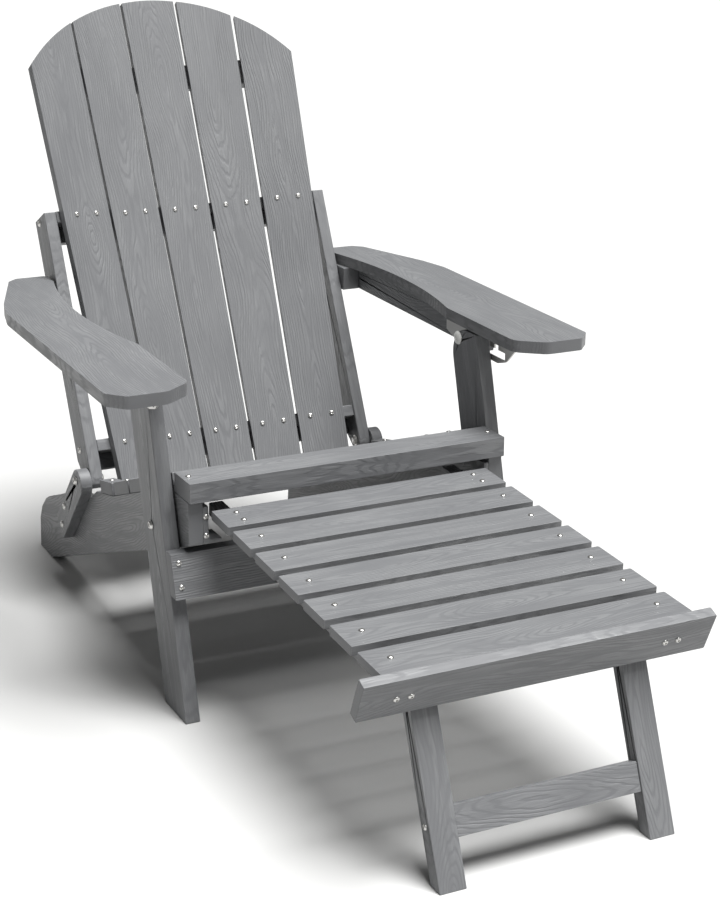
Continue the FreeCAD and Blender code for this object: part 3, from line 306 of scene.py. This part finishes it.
# ---------------------------------------------------------------- boards
def welded(name):
    """A CAD node's mesh with its corners joined where they touch."""
    shape = bmesh.new()
    shape.from_mesh(NODES[name].data)
    bmesh.ops.remove_doubles(shape, verts=shape.verts, dist=WELD_GAP)
    return shape


def flattest(faces):
    """The faces that share the normal with the most area, and that normal."""
    groups = {}
    for face in faces:
        groups.setdefault(tuple(round(c, 2) for c in face.normal), []).append(face)
    best = max(groups.values(), key=lambda group: sum(f.calc_area() for f in group))
    return best, best[0].normal.copy()


def middle_of(faces):
    """The middle of some flat faces."""
    area = sum(f.calc_area() for f in faces)
    return sum((f.calc_center_median() * f.calc_area() for f in faces), Vector()) / area


def board_axes(name):
    """A board's middle, and a turn whose X runs along it, Y across it and Z out of its wide face."""
    shape = welded(name)
    wide, normal = flattest(shape.faces)
    if max(normal, key=abs) < 0:
        normal.negate()
    middle = middle_of(wide)
    spread = np.zeros((3, 3))
    for face in wide:
        corners = [np.array(v.co - middle) for v in face.verts]
        mean = np.mean(corners, axis=0)
        own = 9 * np.outer(mean, mean) + sum(np.outer(c, c) for c in corners)
        spread += face.calc_area() * own / 12
    shape.free()
    along = Vector(np.linalg.eigh(spread)[1][:, -1])
    if max(along, key=abs) < 0:
        along.negate()
    across = normal.cross(along).normalized()
    return middle, Matrix((along, across, normal)).transposed()


def ease_edges(piece, radius):
    """Rounds a CAD board's sharp edges, as the extruder's die and the saw leave them."""
    weld = piece.modifiers.new("join_corners", "WELD")
    weld.merge_threshold = WELD_GAP
    bevel = piece.modifiers.new("eased_edges", "BEVEL")
    bevel.width = radius
    bevel.segments = 2
    bevel.limit_method = "ANGLE"
    bevel.angle_limit = BEVEL_FROM
    bevel.use_clamp_overlap = True
    shade = piece.modifiers.new("flat_faces", "WEIGHTED_NORMAL")
    shade.keep_sharp = False
    shade.weight = 100


def finish_boards(names, look):
    """Gives boards their grain, each with its own piece of the pattern, and eases their edges."""
    lumber = finish_of("lumber", look)
    for name in names:
        board = NODES[name]
        middle, axes = board_axes(name)
        number = sorted(NODES).index(name)
        board["grain_origin"] = tuple(middle)
        board["grain_turn"] = tuple(axes.to_euler())
        board["grain_shift"] = (1.37 * number, 0.61 * number, 0.43 * number)
        for slot in board.material_slots:
            slot.material = lumber
        ease_edges(board, look.board_edge)


# ---------------------------------------------------------------- turned pieces
def turned(shape, place, rings, sides=24):
    """Adds a closed round solid along the place's Z. A ring is radius, height and how hexagonal it is."""
    loops = []
    for radius, height, hexed in rings:
        loop = []
        for i in range(sides):
            angle = 2 * math.pi * i / sides
            flat = math.cos(math.pi / 6) / math.cos((angle + math.pi / 6) % (math.pi / 3) - math.pi / 6)
            reach = radius * (1 - hexed + hexed * flat)
            corner = Vector((reach * math.cos(angle), reach * math.sin(angle), height))
            loop.append(shape.verts.new(place @ corner))
        loops.append(loop)
    for low, high in zip(loops, loops[1:]):
        for i in range(sides):
            j = (i + 1) % sides
            shape.faces.new((low[i], low[j], high[j], high[i]))
    shape.faces.new(tuple(reversed(loops[0])))
    shape.faces.new(tuple(loops[-1]))


def piece_of(shape, name, material, body, nodes):
    """Makes an object of a mesh, which rides on a body and stands for CAD nodes."""
    mesh = bpy.data.meshes.new(name)
    bmesh.ops.recalc_face_normals(shape, faces=shape.faces)
    shape.to_mesh(mesh)
    shape.free()
    mesh.shade_smooth()
    mesh.set_sharp_from_angle(angle=SHARP_FROM)
    mesh.materials.append(material)
    piece = bpy.data.objects.new(name, mesh)
    bpy.context.scene.collection.objects.link(piece)
    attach(piece, body)
    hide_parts(*nodes)


def solids_of(name):
    """The separate solids of a CAD node, each as a list of its faces, with the mesh that holds them."""
    shape = welded(name)
    left = set(shape.faces)
    found = []
    for start in shape.faces:
        if start not in left:
            continue
        left.discard(start)
        solid, front = [start], [start]
        while front:
            for edge in front.pop().edges:
                for face in edge.link_faces:
                    if face in left:
                        left.discard(face)
                        solid.append(face)
                        front.append(face)
        found.append(solid)
    return shape, found


def standing(middle, direction):
    """A place at a point, with Z along a direction."""
    return Matrix.Translation(middle) @ direction.to_track_quat("Z", "X").to_matrix().to_4x4()


def screw_heads(nodes, name, body, look):
    """Truss head screws with a hexagonal socket, one where each CAD screw stands."""
    heads = bmesh.new()
    for node in nodes:
        shape, solids = solids_of(node)
        for solid in solids:
            base, normal = flattest(solid)
            middle = middle_of(base)
            reach = max((v.co - middle).length for f in base for v in f.verts)
            rise = max((v.co - middle).dot(-normal) for f in solid for v in f.verts)
            rings = ((reach, 0, 0), (reach, 0.14 * rise, 0), (0.93 * reach, 0.42 * rise, 0),
                     (0.76 * reach, 0.76 * rise, 0), (0.56 * reach, 0.95 * rise, 0),
                     (0.46 * reach, rise, 0), (0.40 * reach, 0.96 * rise, 1),
                     (0.36 * reach, 0.30 * rise, 1), (0.10 * reach, 0.16 * rise, 1))
            turned(heads, standing(middle, -normal), rings)
        shape.free()
    piece_of(heads, name, finish_of("steel", look), body, nodes)


def across_chair(solid):
    """A place at a solid's inner end with Z outward across the chair, and the solid's length and radius."""
    points = [v.co for f in solid for v in f.verts]
    low, high = (Vector(pick(p[i] for p in points) for i in range(3)) for pick in (min, max))
    side = 1 if low.x + high.x > 0 else -1
    inner = low.x if side > 0 else high.x
    middle = Vector((inner, (low.y + high.y) / 2, (low.z + high.z) / 2))
    return standing(middle, Vector((side, 0, 0))), high.x - low.x, (high.z - low.z) / 2


def pan_head(shape, place, radius, rise):
    """A pan head with a hexagonal socket and a small flange."""
    rings = ((radius, 0, 0), (radius, 0.22 * rise, 0), (0.90 * radius, 0.34 * rise, 0),
             (0.84 * radius, 0.66 * rise, 0), (0.70 * radius, 0.90 * rise, 0), (0.50 * radius, rise, 0),
             (0.42 * radius, 0.96 * rise, 1), (0.40 * radius, 0.35 * rise, 1),
             (0.08 * radius, 0.28 * rise, 1))
    turned(shape, place, rings)


def side_heads(nodes, name, body, look):
    """Pan heads on the chair's sides, one where each CAD head stands."""
    heads = bmesh.new()
    for node in nodes:
        shape, solids = solids_of(node)
        for solid in solids:
            place, long, radius = across_chair(solid)
            pan_head(heads, place, radius, long)
        shape.free()
    piece_of(heads, name, finish_of("steel", look), body, nodes)


def pivot_bolts(nodes, name, body, look):
    """Bolts across the chair's sides: a pan head outside, a shank, and a washer and a lock nut inside."""
    bolts = bmesh.new()
    for node in nodes:
        shape, solids = solids_of(node)
        for solid in solids:
            place, long, _ = across_chair(solid)
            shank = ((3.3 * MM, 0, 0), (BOLT_RADIUS, 0.7 * MM, 0), (BOLT_RADIUS, long - 2 * MM, 0))
            turned(bolts, place, shank)
            turned(bolts, place, LOCK_NUT)
            turned(bolts, place, WASHER)
            under_head = place @ Matrix.Translation((0, 0, long - BOLT_HEAD_TALL))
            pan_head(bolts, under_head, BOLT_HEAD_RADIUS, BOLT_HEAD_TALL)
        shape.free()
    piece_of(bolts, name, finish_of("steel", look), body, nodes)


# ---------------------------------------------------------------- operators
def boards_in(body):
    """The CAD nodes of a body that are boards."""
    slots = {part["node"]: part["material_slot"] for part in frame["record"]["subparts"]}
    return [name for name in BODIES[body] if slots[name] == "poly_lumber"]


class CHAIR_OT_seat(bpy.types.Operator):
    """Finishes the seat: rails, slats, front board, back brackets and footrest guides"""

    bl_idname = "chair.seat"
    bl_label = "Seat"

    def execute(self, context):
        look = context.scene.chair_finish
        finish_boards(boards_in("seat"), look)
        return {"FINISHED"}


class CHAIR_OT_front_legs(bpy.types.Operator):
    """Finishes the front legs and the apron between them"""

    bl_idname = "chair.front_legs"
    bl_label = "Front legs"

    def execute(self, context):
        look = context.scene.chair_finish
        finish_boards(boards_in("front_legs"), look)
        return {"FINISHED"}


class CHAIR_OT_back(bpy.types.Operator):
    """Finishes the back: uprights, fanned slats, crossbars, stiffeners and top batten"""

    bl_idname = "chair.back"
    bl_label = "Back"

    def execute(self, context):
        look = context.scene.chair_finish
        finish_boards(boards_in("back"), look)
        return {"FINISHED"}


class CHAIR_OT_arms(bpy.types.Operator):
    """Finishes the arms, their rails and their blocks"""

    bl_idname = "chair.arms"
    bl_label = "Arms"

    def execute(self, context):
        look = context.scene.chair_finish
        finish_boards(boards_in("arms"), look)
        return {"FINISHED"}


class CHAIR_OT_footrest(bpy.types.Operator):
    """Finishes the footrest's slats, rails and end board, and its own legs"""

    bl_idname = "chair.footrest"
    bl_label = "Footrest"

    def execute(self, context):
        look = context.scene.chair_finish
        finish_boards(boards_in("footrest") + boards_in("footrest_legs"), look)
        return {"FINISHED"}


class CHAIR_OT_latch_plates(bpy.types.Operator):
    """Finishes the notched steel plates under the arms"""

    bl_idname = "chair.latch_plates"
    bl_label = "Latch plates"

    def execute(self, context):
        look = context.scene.chair_finish
        for name in ("latch_plate_left", "latch_plate_right"):
            for slot in NODES[name].material_slots:
                slot.material = finish_of("plate", look)
            ease_edges(NODES[name], look.plate_edge)
        return {"FINISHED"}


class CHAIR_OT_screws(bpy.types.Operator):
    """Makes the screw heads in every board"""

    bl_idname = "chair.screws"
    bl_label = "Screws"

    def execute(self, context):
        look = context.scene.chair_finish
        screw_heads(("seat_screws",), "seat_screw_heads", "seat", look)
        screw_heads(("apron_screws",), "apron_screw_heads", "front_legs", look)
        screw_heads(("back_screws",), "back_screw_heads", "back", look)
        screw_heads(("footrest_screws",), "footrest_screw_heads", "footrest", look)
        screw_heads(("footrest_leg_screws",), "footrest_leg_screw_heads", "footrest_legs", look)
        return {"FINISHED"}


class CHAIR_OT_bolts(bpy.types.Operator):
    """Makes the pivot bolts with their washers and nuts, and the heads on brackets and uprights"""

    bl_idname = "chair.bolts"
    bl_label = "Bolts"

    def execute(self, context):
        look = context.scene.chair_finish
        pivot_bolts(("leg_pivot_bolts",), "leg_bolts_and_nuts", "seat", look)
        pivot_bolts(("back_pivot_bolts",), "back_bolts_and_nuts", "back", look)
        pivot_bolts(("arm_pivot_bolts",), "arm_bolts_and_nuts", "arms", look)
        pivot_bolts(("footrest_leg_bolts",), "footrest_bolts_and_nuts", "footrest", look)
        side_heads(("bracket_bolts",), "bracket_bolt_heads", "seat", look)
        side_heads(("upright_bolts",), "upright_bolt_heads", "back", look)
        return {"FINISHED"}


class CHAIR_OT_arm_pins(bpy.types.Operator):
    """Makes the arm pins, each with a white domed cap inside the leg"""

    bl_idname = "chair.arm_pins"
    bl_label = "Arm pins"

    def execute(self, context):
        look = context.scene.chair_finish
        pins = bmesh.new()
        shape, solids = solids_of("arm_pins")
        for solid in solids:
            place, long, radius = across_chair(solid)
            turned(pins, place, (
                (0.10 * radius, 1.1 * MM, 1), (0.26 * radius, 0.9 * MM, 1), (0.30 * radius, 0.2 * MM, 1),
                (0.42 * radius, 0, 0), (0.70 * radius, 0.5 * MM, 0), (0.90 * radius, 1.5 * MM, 0),
                (radius, 2.8 * MM, 0), (radius, 3.9 * MM, 0), (0.96 * radius, CAP_TALL, 0)), 32)
            turned(pins, place, ((PIN_RADIUS, 3.9 * MM, 0), (PIN_RADIUS, long, 0)))
        shape.free()
        nylon = finish_of("nylon", look)
        piece_of(pins, "arm_pins_and_caps", nylon, "front_legs", ("arm_pins",))
        return {"FINISHED"}


class CHAIR_OT_stage(bpy.types.Operator):
    """Makes the pale floor, the lights and the camera"""

    bl_idname = "chair.stage"
    bl_label = "Studio"

    def execute(self, context):
        stage = context.scene.chair_stage
        scene = context.scene
        scene.view_settings.view_transform = "Standard"
        material, tree = empty_material("matt_studio_floor")
        spot = add(tree, "TexCoord")
        mottle = add(tree, "TexNoise", {}, {"Vector": spot.outputs["Object"], "Scale": 3.0, "Detail": 2.0})
        tone = add(tree, "Mix", {"data_type": "RGBA"}, {
            "Factor": mottle.outputs[0], "A": (*stage.floor_colour, 1),
            "B": tuple(c * 0.97 for c in stage.floor_colour) + (1,)})
        shader = add(tree, "BsdfPrincipled", {}, {"Base Color": tone.outputs[2], "Roughness": 0.9})
        add(tree, "OutputMaterial", {}, {0: shader.outputs[0]})
        mesh = bpy.data.meshes.new("studio_floor")
        shape = bmesh.new()
        bmesh.ops.create_grid(shape, x_segments=4, y_segments=4, size=FLOOR_HALF)
        shape.to_mesh(mesh)
        shape.free()
        mesh.materials.append(material)
        floor = bpy.data.objects.new("studio_floor", mesh)
        scene.collection.objects.link(floor)

        world = bpy.data.worlds.new("white_room")
        world.use_nodes = True
        world.node_tree.nodes["Background"].inputs[0].default_value = (1, 1, 1, 1)
        world.node_tree.nodes["Background"].inputs[1].default_value = stage.sky_strength
        scene.world = world
        target = Vector(LIGHTS_AIM)
        overhead = bpy.data.lights.new("overhead_light", "SUN")
        overhead.angle = OVERHEAD_SPREAD
        overhead.energy = stage.key_strength
        front = bpy.data.lights.new("front_softbox", "AREA")
        front.size = FRONT_SIZE
        front.energy = stage.fill_power
        for light, place in ((overhead, OVERHEAD_PLACE), (front, FRONT_PLACE)):
            holder = bpy.data.objects.new(light.name, light)
            holder.location = place
            holder.rotation_mode = "QUATERNION"
            holder.rotation_quaternion = (target - Vector(place)).to_track_quat("-Z", "Y")
            scene.collection.objects.link(holder)

        camera = bpy.data.cameras.new("studio_camera")
        camera.lens = stage.camera_lens
        camera.sensor_width = 36.0
        camera.clip_end = 60.0
        holder = bpy.data.objects.new("studio_camera", camera)
        holder.location = stage.camera_place
        holder.rotation_mode = "QUATERNION"
        holder.rotation_quaternion = Vector(stage.camera_aim).to_track_quat("-Z", "Y")
        scene.collection.objects.link(holder)
        scene.camera = holder
        return {"FINISHED"}


STEPS = (CHAIR_OT_seat, CHAIR_OT_front_legs, CHAIR_OT_back, CHAIR_OT_arms, CHAIR_OT_footrest,
         CHAIR_OT_latch_plates, CHAIR_OT_screws, CHAIR_OT_bolts, CHAIR_OT_arm_pins, CHAIR_OT_stage)


class CHAIR_PT_panel(bpy.types.Panel):
    """The chair's settings and its operators in order"""

    bl_idname = "CHAIR_PT_panel"
    bl_label = "Adirondack chair"
    bl_space_type = "VIEW_3D"
    bl_region_type = "UI"
    bl_category = "Chair"

    def draw(self, context):
        for group in (context.scene.chair_finish, context.scene.chair_stage):
            box = self.layout.box()
            for name in group.__annotations__:
                box.prop(group, name)
        for step in STEPS:
            self.layout.operator(step.bl_idname)


CLASSES = (ChairFinish, ChairStage, *STEPS, CHAIR_PT_panel)


def register():
    for item in CLASSES:
        bpy.utils.register_class(item)
    bpy.types.Scene.chair_finish = bpy.props.PointerProperty(type=ChairFinish)
    bpy.types.Scene.chair_stage = bpy.props.PointerProperty(type=ChairStage)


def unregister():
    del bpy.types.Scene.chair_stage
    del bpy.types.Scene.chair_finish
    for item in reversed(CLASSES):
        bpy.utils.unregister_class(item)


def main():
    register()
    for step in STEPS:
        group, name = step.bl_idname.split(".")
        getattr(getattr(bpy.ops, group), name)()


if __name__ == "__main__":
    main()
